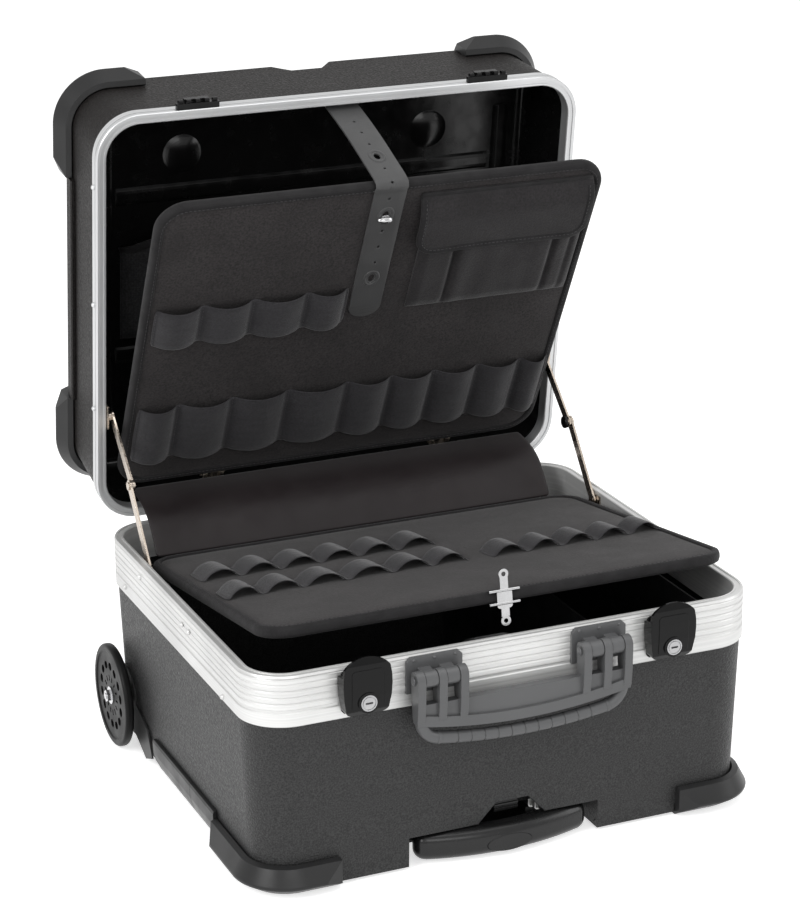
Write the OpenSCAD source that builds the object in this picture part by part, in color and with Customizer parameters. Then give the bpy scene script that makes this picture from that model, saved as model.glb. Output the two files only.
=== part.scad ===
// Hard tool case with a hinged lid, two folding tool pallets, a carry handle and a pull-out trolley grip.
// Millimetres, +Z up. The front faces -Y, the lid hinges at the back and is drawn open.
// Lid parts are drawn shut in case coordinates and swung open by lid_open_angle.

/* [Case] */
// width over the aluminium band
case_w = 500; // [490:1:520]
// depth over the aluminium band, front to back
case_d = 422; // [416:1:430]
// corner radius of the aluminium band
corner_r = 43; // [40:1:46]
// height of the lower edge of the band
band_bottom = 165; // [155:1:170]
// height of the seam between base and lid
seam_z = 213; // [211:1:215]
// height of the closed lid's top above the floor
lid_top = 335; // [330:1:345]
// thickness of the moulded shells
wall = 3.2; // [2.5:0.1:4]
// angle of the open lid as shown
lid_open_angle = 82.1; // [60:0.1:90]

/* [Pallets] */
// width of the lid's tool pallet
pallet_w = 456; // [440:1:458]
// thickness of a pallet board
board_t = 9; // [8:1:12]
// length of the lid's pallet
upper_len = 363; // [340:1:363]
// length of the base's pallet
lower_len = 336; // [320:1:337]
// lean of the upper pallet out of the lid
upper_lean = 20; // [10:0.5:22]
// lift of the lower pallet's front edge
lower_lift = 8.5; // [4:0.5:10]
// height of the elastic loops over the board
loop_rise = 11; // [8:0.5:11]

/* [Fittings] */
// distance of each draw latch from the middle
latch_x = 150; // [140:1:156]
// distance of each handle bracket from the middle
bracket_x = 81; // [78:1:84]
// radius of the rear wheels
wheel_r = 51.7; // [48:0.1:54]
// sideways place of the trolley grip
trolley_x = -7; // [-10:1:0]
// width of the trolley grip
grip_w = 172; // [150:1:180]

/* [Hidden] */
$fn = 48;

cx = case_w/2 - corner_r;
cy = case_d/2 - corner_r;
front = -case_d/2;
back = case_d/2;
hinge_y = back + 7.5;
hinge_z = seam_z - 10.5;

// shell profile, as distances from a corner's centre
skin_top = corner_r - 2.4;
skin_low = corner_r - 7.5;
fillet = 10;
foot_z = 3;
rim_t = 1.6;
rim_in = corner_r - 9.5;
leg_low = seam_z - 36;
seam_gap = 0.4;
lid_frame = 14;

// lower pallet, drawn flat: its rear edge is sewn to the link sheet
lower_y = 151;
lower_z = 191;
// upper pallet, drawn flat in the shut lid
upper_y = 182;
upper_z = 228;
upper_face = upper_z - board_t/2;
lower_face = lower_z + board_t/2;
pallet_r = 30;

// folding stays: pivots in the side view, y and z, with the lid open as shown
stay_base = [103, 203];
stay_knee = [156, 271.5];
stay_lid = [213, 325];
stay_x = case_w/2 - 9.7;

wheel_y = 167;
wheel_out = 263.6;
wheel_in = 254.8;

pin_y = front - 15;
pin_z = 195;
lever_y = front - 5.5;
lever_z = 174;
key_z = 184;

loop_t = 1.8;

// ---------- shared shapes ----------

function arc(c, r, a0, a1, n = 8) = [for (i = [0:n]) let (a = a0 + (a1 - a0)*i/n) c + r*[cos(a), sin(a)]];

module rounded_rect(w, d, r) {
  square([w - 2*r, d], center = true);
  square([w, d - 2*r], center = true);
  for (sx = [-1, 1], sy = [-1, 1]) translate([sx*(w/2 - r), sy*(d/2 - r)]) circle(r);
}

// sweeps a profile round the case: x is the distance from a corner's centre, y is the height
module case_ring() {
  for (i = [0:3]) {
    side = [[1, 1], [-1, 1], [-1, -1], [1, -1]][i];
    length = i % 2 == 0 ? 2*cy : 2*cx;
    translate([side.x*cx, side.y*cy, 0]) rotate([0, 0, 90*i]) {
      rotate_extrude(angle = 90) children();
      rotate([90, 0, 0]) linear_extrude(length) children();
    }
  }
}

// one rounded corner of such a sweep with its two straight arms
module corner_piece(sx, sy, along_x, along_y) {
  mirror([sx < 0 ? 1 : 0, 0, 0]) mirror([0, sy < 0 ? 1 : 0, 0]) translate([cx, cy, 0]) {
    rotate_extrude(angle = 90) children();
    rotate([90, 0, 0]) linear_extrude(along_y) children();
    rotate([0, 0, 90]) mirror([0, 1, 0]) rotate([90, 0, 0]) linear_extrude(along_x) children();
  }
}

module side_view(x0, x1) translate([x0, 0, 0]) rotate([90, 0, 90]) linear_extrude(x1 - x0) children();
module front_view(y0, y1) translate([0, y1, 0]) rotate([90, 0, 0]) linear_extrude(y1 - y0) children();
module rod_x(x0, x1, y, z, r) translate([x0, y, z]) rotate([0, 90, 0]) cylinder(r = r, h = x1 - x0);
module turn(y, z, angle) translate([0, y, z]) rotate([angle, 0, 0]) translate([0, -y, -z]) children();
module block(x, y, z) translate([x[0], y[0], z[0]]) cube([x[1] - x[0], y[1] - y[0], z[1] - z[0]]);
module both_sides() {
  children();
  mirror([1, 0, 0]) children();
}
module lid_open() turn(hinge_y, hinge_z, -lid_open_angle) children();
module upper_place() lid_open() turn(upper_y, upper_z, upper_lean) children();
module lower_place() turn(lower_y, lower_z, -lower_lift) children();
module lid_mirror() translate([0, 0, lid_top + foot_z]) mirror([0, 0, 1]) children();

// ---------- base ----------

// drafted wall with a rounded foot, as used by base and lid
module wall_profile(top, up) {
  polygon(concat(
    arc([skin_low - fillet, foot_z + fillet], fillet, -90, 0),
    [[skin_top, up], [skin_top, top], [skin_top - wall, top], [skin_top - wall, up]],
    arc([skin_low - fillet, foot_z + fillet], fillet - wall, 0, -90)
  ));
}

module shell_pan(top, up) {
  case_ring() wall_profile(top, up);
  inset = corner_r - (skin_low - fillet);
  translate([0, 0, foot_z]) linear_extrude(wall)
    rounded_rect(case_w - 2*inset, case_d - 2*inset, corner_r - inset);
}

// between the bumpers the front wall runs straight down to a crisp lower edge
module apron() {
  side_view(-169.6, 169.6) polygon([
    [front + 7.5, foot_z + fillet], [front + 7.84, foot_z], [front + 17.5, foot_z], [front + 17.5, foot_z + 1.6],
    [front + 11.6, foot_z + 4.1], [front + 9.1, foot_z + fillet]
  ]);
}

module base_shell() {
  channel_w = 190;
  channel_top = 32;
  color("#3a3a3c") difference() {
    union() {
      shell_pan(seam_z - 5, band_bottom - 3);
      apron();
      // raised floor over the trolley channel
      side_view(trolley_x - channel_w/2 - wall, trolley_x + channel_w/2 + wall)
        polygon([[front + 8.6, channel_top + wall], [front + 9, 15], [front + 17.5, foot_z + 1],
                 [back - 44, foot_z + 1], [back - 44, channel_top + wall]]);
      front_view(front + 8.6, front + 38) alcove_outline(wall);
    }
    block([trolley_x - channel_w/2, trolley_x + channel_w/2], [front - 10, back - 47], [-1, channel_top]);
    front_view(front - 10, front + 35) alcove_outline(0);
  }
}

// finger alcove over the grip, seen from the front
module alcove_outline(grow) {
  polygon([[-33 - grow, 30], [33 + grow, 30], [33 + grow, 33], [16 + grow, 51 + grow],
           [-16 - grow, 51 + grow], [-33 - grow, 33]]);
}

// ribbed aluminium band: an upturned U over the shell's edge
module base_rim_profile() {
  ribs = 5;
  pitch = (seam_z - band_bottom - 18)/ribs;
  face = corner_r;
  difference() {
    polygon(concat(
      [[face - 0.5, band_bottom], [face, band_bottom + 0.8], [face, band_bottom + 12.4],
       [face - 1, band_bottom + 13.4], [face - 1, band_bottom + 14.8]],
      [for (i = [0:ribs - 1]) each let (z = band_bottom + 15.6 + i*pitch)
        [[face - 0.8, z], [face - 0.1, z + 0.9], [face - 0.1, z + pitch - 1.4], [face - 0.8, z + pitch - 0.6]]],
      [[face, seam_z - 2], [face - 1, seam_z]],
      [[rim_in + 0.8, seam_z], [rim_in, seam_z - 0.8], [rim_in, leg_low], [rim_in + rim_t, leg_low]],
      [[rim_in + rim_t, seam_z - rim_t], [face - rim_t, seam_z - rim_t], [face - rim_t, band_bottom]]
    ));
    translate([rim_in + 2.4, seam_z - 0.8]) square([4, 2]);
  }
}

module base_rim() color("#d8d9d6") case_ring() base_rim_profile();

// rivets in both side faces at the given places, y and z
module rivets_at(places) {
  for (p = places) both_sides() translate([case_w/2, p.x, p.y]) rotate([0, 90, 0]) rivet();
}
module rivet() {
  rotate_extrude() polygon(concat([[0, 0.05], [2.6, 0.05]], arc([0, 0.05], 2.6, 0, 90, 6)));
}

module base_rivets() {
  color("#c9c9c6") rivets_at([[95.5, seam_z - 12], [-26, seam_z - 15], [-44.6, seam_z - 15.5],
                              [143.6, band_bottom + 8.6], [-133, band_bottom + 4]]);
}

// corner bumper and runner profiles, proud of the shell
module bumper_profile() {
  polygon(concat(
    arc([skin_low - fillet, foot_z + fillet], fillet + 0.4, -80, 0),
    [[skin_low + 1.2, 28], [skin_low + 2.6, 29.5], [corner_r + 0.5, 28]],
    arc([corner_r + 5.3, 12.5], 3.2, 30, -50, 5),
    [[skin_low + 2, 1.5]],
    [[skin_low - 1, 0], [skin_low - 8, 0]]
  ));
}

module runner_profile() {
  polygon(concat(
    arc([skin_low - fillet, foot_z + fillet], fillet + 0.4, -60, 0),
    [[skin_low + 1.4, 36], [corner_r - 3, 36], [corner_r - 2, 33.5], [corner_r - 2.5, 22],
     [corner_r - 4.5, 13.5], [skin_low - 2, 3.6]]
  ));
}

// bumper round one corner, with both ends bevelled
module bumper(sx, sy, along_x, along_y) {
  difference() {
    corner_piece(sx, sy, along_x, along_y) bumper_profile();
    translate([sx*(cx - along_x), sy*(cy + corner_r + 0.5), -1]) mirror([sx < 0 ? 1 : 0, 0, 0])
      mirror([0, sy < 0 ? 1 : 0, 0]) bevel();
    translate([sx*(cx + corner_r + 0.5), sy*(cy - along_y), -1]) mirror([sx < 0 ? 1 : 0, 0, 0])
      mirror([0, sy < 0 ? 1 : 0, 0]) mirror([1, -1, 0]) bevel();
  }
}
module bevel() linear_extrude(40) polygon([[-1, 0], [0, 0], [20, 9.5], [20, 14], [-1, 14]]);

module base_bumper_left() color("#46474a") bumper(-1, -1, 37, 78);
module base_bumper_right() color("#46474a") bumper(1, -1, 37, 78);

module runner_pair(y_list) {
  for (span = y_list) both_sides()
    translate([cx, span[1], 0]) rotate([90, 0, 0]) linear_extrude(span[1] - span[0]) runner_profile();
}
module base_runners() color("#515255") runner_pair([[-89, -24.5], [-24, 84]]);

// plates behind the rear wheels, and the wheel bolts: collar, axle, washer and nut
module wheel_housings() {
  plate_out = case_w/2 - 3;
  color("#3c3d40") both_sides() {
    side_view(plate_out - 1.6, plate_out) {
      translate([wheel_y, wheel_r]) circle(30);
      polygon([[90, 12], [110, 4], [150, 22], [160, 60], [104, 38]]);
    }
    rod_x(plate_out + 0.02, wheel_in - 0.3, wheel_y, wheel_r, 9);
    rod_x(wheel_in - 0.4, wheel_out, wheel_y, wheel_r, 5);
    rod_x(wheel_out - 0.9, wheel_out + 0.1, wheel_y, wheel_r, 8.8);
    translate([wheel_out, wheel_y, wheel_r]) rotate([0, 90, 0]) {
      cylinder(r = 6.2, h = 4.2, $fn = 6);
      cylinder(r = 3.2, h = 5.2);
    }
  }
}

// wheel: a narrow tread round a face plate pierced by two rings of holes; drawn for the right side
module wheel_outline() {
  width = wheel_out - wheel_in;
  tread = 3;
  polygon(concat(
    [[5.06, 0], [12, 0], [13.5, 3.6], [wheel_r - 9, 3.6], [wheel_r - 7.5, 0]],
    arc([wheel_r - tread, tread], tread, -90, 0, 4),
    arc([wheel_r - tread, width - tread], tread, 0, 90, 4),
    [[wheel_r - 6.5, width], [wheel_r - 7.7, width - 1.2], [5.06, width - 1.2]]
  ));
}

module wheel() {
  holes = 14;
  turn_by = 360/holes;
  width = wheel_out - wheel_in;
  translate([wheel_in, wheel_y, wheel_r]) rotate([0, 90, 0]) difference() {
    rotate_extrude($fn = 96) wheel_outline();
    for (i = [0:holes - 1]) rotate([0, 0, i*turn_by]) translate([30.5, 0, 3]) scale([0.85, 1, 1])
      cylinder(r = 4.7, h = width);
    for (i = [0:holes - 1]) rotate([0, 0, (i + 0.5)*turn_by]) translate([14.6, -1.2, 3]) cube([6, 2.4, width]);
  }
}
module wheel_right() color("#333437") wheel();
module wheel_left() color("#333437") mirror([1, 0, 0]) wheel();

// ---------- trolley ----------

tube_dx = 62;
tube_z = 16.5;
travel_ends = [[-150, 155], [-160, 150], [-203, 145]];

module rect_tube(w, h, t, y0, y1) {
  for (s = [-1, 1]) front_view(y0, y1) translate([trolley_x + s*tube_dx, tube_z]) difference() {
    rounded_rect(w, h, 3);
    rounded_rect(w - 2*t, h - 2*t, 2);
  }
}
module trolley_outer_tubes() color("#8d8f92") rect_tube(24, 15, 1.4, travel_ends[0][0], travel_ends[0][1]);
module trolley_middle_tubes() color("#a7a9ab") rect_tube(20.6, 11.6, 1.3, travel_ends[1][0], travel_ends[1][1]);
module trolley_inner_tubes() color("#bfc1c2") rect_tube(17.4, 8.4, 1.2, travel_ends[2][0], travel_ends[2][1]);

// plate under the channel; its flat underside is the case's seat
module trolley_cover() {
  color("#2e2f31") {
    translate([trolley_x, 4, 0]) linear_extrude(2.6) rounded_rect(188, 316, 8);
    for (s = [-1, 1]) block([trolley_x + s*tube_dx - 14, trolley_x + s*tube_dx + 14], [-148, 158], [2.6, 8.7]);
  }
}

// bowed grip: an upright section swept along a wide arc and trimmed to a rounded front view
module trolley_grip() {
  bow = 245;
  depth = 24;
  low = 3;
  high = 30.5;
  edge_r = 10;
  mid_r = bow - depth/2;
  end_turn = asin((grip_w - depth)/2/mid_r);
  color("#303134") difference() {
    translate([trolley_x, front - 5 + bow, (low + high)/2]) {
      rotate([0, 0, 270 - end_turn]) rotate_extrude(angle = 2*end_turn, $fn = 128)
        translate([mid_r, 0]) rounded_rect(depth, high - low, edge_r);
      for (s = [-1, 1]) rotate([0, 0, 270 + s*end_turn]) translate([mid_r, 0, 0])
        rotate_extrude() grip_end(depth/2 - 0.15, (high - low)/2 - 0.15, edge_r);
    }
    for (s = [-1, 1]) front_view(-204, front + 60)
      translate([trolley_x + s*tube_dx, tube_z]) rounded_rect(17.9, 8.9, 3);
    front_view(front - 12, front + 7) translate([trolley_x, 14]) scale([22.4, 8.4]) circle(1);
  }
}
// half section of the grip's rounded end
module grip_end(r, half, edge_r) {
  polygon(concat([[0, -half]], arc([r - edge_r, edge_r - half], edge_r, -90, 0),
                 arc([r - edge_r, half - edge_r], edge_r, 0, 90), [[0, half]]));
}
module trolley_button() {
  color("#3f4043") front_view(front - 4.4, front + 1) translate([trolley_x, 14]) scale([22, 8]) circle(1);
}

// ribbed catch in the finger alcove
module grip_catch() {
  color("#262729") {
    block([-12, 12], [front + 20, front + 34], [34, 46]);
    for (i = [0:2]) block([-12, 12], [front + 18.8, front + 20], [35.5 + 4*i, 37.5 + 4*i]);
  }
}

// ---------- hinge ----------

hinge_len = 396;
knuckles = 11;
module hinge_knuckles(first) {
  pitch = hinge_len/knuckles;
  for (i = [first:2:knuckles - 1])
    rod_x(-hinge_len/2 + i*pitch + 0.2, -hinge_len/2 + (i + 1)*pitch - 0.2, hinge_y, hinge_z, 4.2);
}
module hinge_arms(first, z0, z1) {
  pitch = hinge_len/knuckles;
  for (i = [first:2:knuckles - 1])
    block([-hinge_len/2 + i*pitch + 0.2, -hinge_len/2 + (i + 1)*pitch - 0.2],
          [back + 0.2, hinge_y - 2], [z0, z1]);
}
module hinge_base_leaf() {
  color("#c4c5c2") difference() {
    union() {
      hinge_knuckles(0);
      hinge_arms(0, hinge_z - 6, hinge_z);
      block([-hinge_len/2, hinge_len/2], [back + 0.2, back + 1.8], [hinge_z - 26, hinge_z - 5]);
    }
    rod_x(-hinge_len, hinge_len, hinge_y, hinge_z, 2.05);
  }
}
module hinge_lid_leaf() {
  color("#c4c5c2") lid_open() difference() {
    union() {
      hinge_knuckles(1);
      hinge_arms(1, hinge_z + 1.5, seam_z + 3);
      block([-hinge_len/2, hinge_len/2], [back + 0.2, back + 1.8], [seam_z + 0.9, seam_z + 13]);
    }
    rod_x(-hinge_len, hinge_len, hinge_y, hinge_z, 2.05);
  }
}
module hinge_pin() color("#b3b4b2") rod_x(-hinge_len/2, hinge_len/2, hinge_y, hinge_z, 2);

// ---------- latches ----------

module latch_plates() {
  color("#1d1d1f") for (s = [-1, 1]) translate([s*latch_x, 0, 0]) {
    front_view(front - 2.2, front - 0.1) translate([0, 190]) rounded_rect(38, 40, 4);
    block([-6, 6], [lever_y - 2.8, front - 2], [lever_z - 2.8, lever_z + 3]);
    rod_x(-16, 16, lever_y, lever_z, 1.5);
  }
}

// side section of a lever, its front face moved out by the given amount
module lever_section(proud) {
  polygon(concat(
    arc([lever_y, lever_z], 2.9, 0, -90, 6),
    [[front - 12.5 - proud, 171.2], [front - 15.4 - proud, 176], [front - 17 - proud, 190],
     [front - 17.2 - proud, 206], [front - 16.4 - proud, 219], [front - 14.8 - proud, 225.6],
     [front - 12.8, 226], [front - 13.4, 216], [front - 13.4, 208.5], [front - 2.6, 207.5]]
  ));
}
// lever: side section times front outline, a raised panel, and the collar round the lock's bore
module latch_lever() {
  color("#141415") difference() {
    union() {
      intersection() {
        side_view(-24, 24) lever_section(0);
        front_view(front - 20, front) latch_outline();
      }
      intersection() {
        side_view(-15, 15) lever_section(0.7);
        front_view(front - 20, front - 10) translate([0, 195.5]) rounded_rect(30, 38, 4);
      }
      front_view(front - 18.7, front - 12) translate([0, key_z]) circle(9.6);
    }
    block([-6.6, 6.6], [lever_y - 4, front], [160, lever_z + 4.4]);
    rod_x(-16.4, 16.4, lever_y, lever_z, 1.56);
    front_view(front - 20, front - 8) translate([0, key_z]) circle(7.6);
  }
}
// front outline: bulging sides, an arched top and well rounded lower corners
module latch_outline() {
  polygon(concat(
    arc([13, 178.7], 7.5, -90, 0, 6), [[22.3, 189], [23, 200], [22.6, 209], [21.4, 216.5]],
    arc([0, 196], 30, 50, 130, 12),
    [[-21.4, 216.5], [-22.6, 209], [-23, 200], [-22.3, 189]], arc([-13, 178.7], 7.5, 180, 270, 6)
  ));
}
module latch_lever_left() translate([-latch_x, 0, 0]) latch_lever();
module latch_lever_right() translate([latch_x, 0, 0]) latch_lever();

module key_cylinder() {
  color("#cfd0cf") difference() {
    front_view(front - 19.4, front - 8.3) translate([0, key_z]) circle(7.5);
    front_view(front - 20, front - 16) translate([0, key_z]) rounded_rect(7, 1.8, 0.7);
    front_view(front - 20, front - 18.6) translate([0, key_z]) difference() {
      circle(6.4);
      circle(5.6);
    }
  }
}
module key_cylinder_left() translate([-latch_x, 0, 0]) key_cylinder();
module key_cylinder_right() translate([latch_x, 0, 0]) key_cylinder();

// ---------- carry handle ----------

handle_w = 210;
bar_high = 172;
fin_dx = 20.6;
fin_t = 7.6;
drum_dx = 10.3;
drum_t = 12;

module handle_brackets() {
  color("#4b4c50") for (s = [-1, 1]) translate([s*bracket_x, 0, 0]) {
    difference() {
      union() {
        front_view(front - 3, front - 0.1)
          polygon([[-27, 178], [27, 178], [27, 208], [23, 212], [-23, 212], [-27, 208]]);
        for (x = [-drum_dx, drum_dx]) {
          rod_x(x - drum_t/2, x + drum_t/2, pin_y, pin_z, 7.6);
          side_view(x - drum_t/2, x + drum_t/2)
            polygon([[front - 2, 188.5], [pin_y, 189.5], [pin_y, 200.5], [front - 2, 201.5]]);
        }
      }
      rod_x(-30, 30, pin_y, pin_z, 3.05);
    }
    for (x = [-20, 0, 20]) translate([x, front - 2.9, 209]) rotate([90, 0, 0]) scale([0.6, 0.6, 0.6]) rivet();
  }
}
// pins with flat domed heads outside the outer fins
module handle_pins() {
  head = fin_dx + fin_t/2 + 0.5;
  color("#5a5b5e") for (s = [-1, 1]) translate([s*bracket_x, 0, 0]) {
    rod_x(-head - 0.1, head + 0.1, pin_y, pin_z, 3);
    for (m = [0, 1]) mirror([m, 0, 0]) translate([head, pin_y, pin_z]) rotate([0, 90, 0])
      rotate_extrude() polygon(concat([[0, 0]], [for (i = [0:6]) [4*cos(15*i), 0.5 + 1.6*sin(15*i)]]));
  }
}

// carry handle: a round grip bowed downward under a stepped bar, carried by six fins
grip_r = 5.7;
grip_gap = 6.2;
bow_r = 532;
bow_z = 131 + bow_r;
bend_r = 19;
bend_x = handle_w/2 - grip_r - bend_r;
bend_at = asin(bend_x/(bow_r - bend_r));
bend_z = bow_z - (bow_r - bend_r)*cos(bend_at);

// a stretch of the round grip, bent about a centre in the front view, from one angle over a turn
module grip_arc(x, z, radius, from, turn_by) {
  translate([x, pin_y, z]) rotate([90, 0, 0]) rotate([0, 0, from]) rotate_extrude(angle = turn_by, $fn = 48)
    translate([radius, 0]) circle(grip_r);
}
// the bar's front view above an edge that follows the grip
module bar_outline(edge_r) {
  intersection() {
    translate([0, bar_high - 20]) rounded_rect(handle_w, 40, 6);
    translate([0, bow_z]) circle(edge_r, $fn = 360);
  }
}
module carry_handle() {
  grooves = 11;
  rib_r = bow_r - grip_r - grip_gap;
  color("#55565a") difference() {
    union() {
      front_view(pin_y - 3.5, pin_y + 4.5) bar_outline(rib_r);
      front_view(pin_y - 6, pin_y + 4.5) difference() {
        bar_outline(rib_r);
        translate([0, bow_z]) circle(rib_r - 10, $fn = 360);
      }
      grip_arc(0, bow_z, bow_r, 270.02 - bend_at, 2*bend_at - 0.04);
      both_sides() {
        grip_arc(bend_x, bend_z, bend_r, 270.6 + bend_at, 90 - bend_at);
        // collar where the bow meets the bend
        translate([0, pin_y, bow_z]) rotate([0, bend_at, 0]) translate([-1.5, 0, -bow_r]) rotate([0, 90, 0])
          cylinder(r = grip_r + 0.4, h = 3);
      }
      for (s = [-1, 1], x = [-fin_dx, 0, fin_dx])
        side_view(s*bracket_x + x - fin_t/2, s*bracket_x + x + fin_t/2) {
        translate([pin_y, pin_z]) circle(8.3);
        polygon([[pin_y - 8.3, pin_z], [pin_y - 8, 173], [pin_y - 6.2, 156], [pin_y + 4.4, 156],
                 [pin_y + 7, 176], [pin_y + 8.3, pin_z]]);
      }
    }
    for (s = [-1, 1]) rod_x(s*bracket_x - 26, s*bracket_x + 26, pin_y, pin_z, 3.08);
    for (i = [0:grooves - 1]) translate([0, pin_y, bow_z]) rotate([0, (i - (grooves - 1)/2)*1.42, 0])
      translate([-0.5, 0, -bow_r]) rotate([0, 90, 0]) difference() {
        cylinder(r = grip_r + 1, h = 1);
        cylinder(r = grip_r - 0.5, h = 1);
      }
  }
}

// ---------- base interior ----------

module dividers() {
  color("#1c1c1e") {
    block([223, 225], [front + 18, back - 18], [10, 183.5]);
    block([112, 114], [front + 18, back - 18], [6.4, 178]);
  }
}

// band of one thickness along a side-view route
function normal_at(p, i) = let (a = p[max(i - 1, 0)], b = p[min(i + 1, len(p) - 1)], d = (b - a)/norm(b - a))
  [-d.y, d.x];
module route_band(p, t) {
  polygon(concat(
    [for (i = [0:len(p) - 1]) p[i] + normal_at(p, i)*t/2],
    [for (i = [len(p) - 1:-1:0]) p[i] - normal_at(p, i)*t/2]
  ));
}

strap_w = 33;
strap_t = 2;
// the base strap bows back from the front wall under the raised pallet
base_strap_route = [
  [-200, 172], [-199.4, 196], [-193, 199], [-178, 197], [-150, 190], [-128, 176], [-118, 158], [-114, 138]
];
module base_strap() color("#4c4c4e") side_view(-strap_w/2, strap_w/2) route_band(base_strap_route, strap_t);

// ---------- folding stays ----------

bar_t = 2;
bar_w = 10;
module stay_bar(p, q, x0) {
  d = q - p;
  a = atan2(d.y, d.x);
  side_view(x0, x0 + bar_t) translate(p) rotate(a) difference() {
    union() {
      translate([0, -bar_w/2]) square([norm(d), bar_w]);
      circle(bar_w/2 + 1);
      translate([norm(d), 0]) circle(bar_w/2 + 1);
    }
    circle(2.56);
  }
}
lower_bar_x = stay_x - 3.9;
upper_bar_x = stay_x - 6.3;
module stay_lower() {
  color("#b8ad9b") {
    stay_bar(stay_base, stay_knee, lower_bar_x);
    rod_x(lower_bar_x + bar_t, lower_bar_x + bar_t + 1.4, stay_knee.x, stay_knee.y, 4);
  }
}
module stay_upper() {
  color("#b8ad9b") {
    stay_bar(stay_lid, stay_knee, upper_bar_x);
    rod_x(upper_bar_x - 1.2, upper_bar_x, stay_knee.x, stay_knee.y, 4.4);
  }
}
module stay_lower_right() stay_lower();
module stay_lower_left() mirror([1, 0, 0]) stay_lower();
module stay_upper_right() stay_upper();
module stay_upper_left() mirror([1, 0, 0]) stay_upper();

module stay_base_pivots() {
  color("#a9a08f") both_sides() {
    block([stay_x - 1.4, stay_x], [stay_base.x - 12, stay_base.x + 12], [stay_base.y - 12, stay_base.y + 6.5]);
    rod_x(lower_bar_x - 0.2, stay_x - 1.4, stay_base.x, stay_base.y, 2.5);
  }
}
// the lid's pivots are drawn where they stand with the lid open
module stay_lid_pivots() {
  color("#a9a08f") both_sides() {
    turn(stay_lid.x, stay_lid.y, -lid_open_angle)
      block([stay_x - 1.4, stay_x], [stay_lid.x - 12, stay_lid.x + 12], [stay_lid.y - 3.2, stay_lid.y + 10]);
    rod_x(upper_bar_x - 0.8, stay_x - 1.4, stay_lid.x, stay_lid.y, 2.5);
    rod_x(upper_bar_x + bar_t + 0.1, stay_x - 1.4, stay_lid.x, stay_lid.y, 4);
  }
}

// ---------- lid ----------

notch_deep = 18;
module lid_notch(grow) {
  polygon([[-16 - grow, lid_top - notch_deep - grow], [16 + grow, lid_top - notch_deep - grow],
           [32.5 + grow, lid_top + 2], [-32.5 - grow, lid_top + 2]]);
}
module lid_shell() {
  color("#3a3834") lid_open() difference() {
    union() {
      lid_mirror() {
        shell_pan(lid_top + foot_z - seam_z - 4, lid_top + foot_z - seam_z - lid_frame - 3);
        apron();
        mirror([0, 1, 0]) apron();
      }
      for (side = [[front + 8.6, front + 52], [back - 52, back - 8.6]])
        front_view(side[0], side[1]) intersection() {
        lid_notch(wall);
        translate([-45, lid_top - 30]) square([90, 29]);
      }
    }
    for (side = [[front - 5, front + 48], [back - 48, back + 5]]) front_view(side[0], side[1]) lid_notch(0);
  }
}

module lid_rim_profile() {
  low = seam_z + seam_gap;
  high = low + lid_frame;
  difference() {
    polygon([[corner_r, low + 0.8], [corner_r, high], [corner_r - rim_t, high], [corner_r - rim_t, low + rim_t],
             [rim_in + rim_t, low + rim_t], [rim_in + rim_t, high], [rim_in, high], [rim_in, low + 0.8],
             [rim_in + 0.8, low], [corner_r - 0.8, low]]);
    translate([rim_in + 2.6, low - 1]) square([3.4, 1.8]);
    translate([corner_r - 0.5, low + 5]) square([1, 1.2]);
  }
}
module lid_rim() color("#dcdcd9") lid_open() case_ring() lid_rim_profile();
module lid_rivets() color("#e2e2df") lid_open() rivets_at([for (y = [-140, -20, 90]) [y, seam_z + 10]]);

module lid_bumper(sx, sy) color("#46474a") lid_open() lid_mirror() bumper(sx, sy, 37, 50);
module lid_bumper_front_left() lid_bumper(-1, -1);
module lid_bumper_front_right() lid_bumper(1, -1);
module lid_bumper_rear_left() lid_bumper(-1, 1);
module lid_bumper_rear_right() lid_bumper(1, 1);
module lid_runners() color("#3f3e3b") lid_open() lid_mirror() runner_pair([[-117, 117]]);

module lid_catches() {
  color("#19191a") lid_open() for (s = [-1, 1]) translate([s*latch_x, 0, 0]) {
    block([-21, 21], [front - 6, front - 0.1], [214.2, 219.4]);
    block([-12, 12], [front - 8.6, front - 0.1], [219.4, 224.4]);
    for (x = [-17, -9, 0, 9, 17]) side_view(x - 2.2, x + 2.2) translate([front - 7, 217]) circle(2.4);
  }
}

// glossy moulded liner: drafted skirt and a panel with ribs and domes
module lid_liner() {
  top = 311.5;
  t = 1.5;
  out_low = rim_in + rim_t + 0.6;
  out_high = skin_low - wall - 0.9;
  color("#0d0d0e") lid_open() {
    case_ring() polygon(concat(
      [[out_low - t, seam_z + lid_frame + 3], [out_low, seam_z + lid_frame + 3]],
      arc([out_high - 9, top - 9], 9, 0, 90),
      arc([out_high - 9, top - 9], 9 - t, 90, 0)
    ));
    inset = corner_r - (out_high - 9);
    translate([0, 0, top - t]) linear_extrude(t)
      rounded_rect(case_w - 2*inset, case_d - 2*inset, corner_r - inset);
    // ribs across the panel and down its sides
    for (y = [-92, 78]) side_view(-200, 200) translate([y, top - t]) ridge(9, 2.6);
    both_sides() front_view(-150, 150) translate([213, top - t]) ridge(9, 2.6);
    // stacking domes
    for (x = [-132, 132], y = [-131, 131]) translate([x, y, top - t + 0.01]) mirror([0, 0, 1])
      rotate_extrude() polygon(concat([[0, 0]], arc([0, -37.5], 42.5, 61.93, 90, 8)));
  }
}
// low rounded rib hanging from z = 0, seen end on
module ridge(half, rise) {
  polygon([[-half, 0.01], [-half*0.72, -rise*0.7], [-half*0.4, -rise],
           [half*0.4, -rise], [half*0.72, -rise*0.7], [half, 0.01]]);
}

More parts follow.
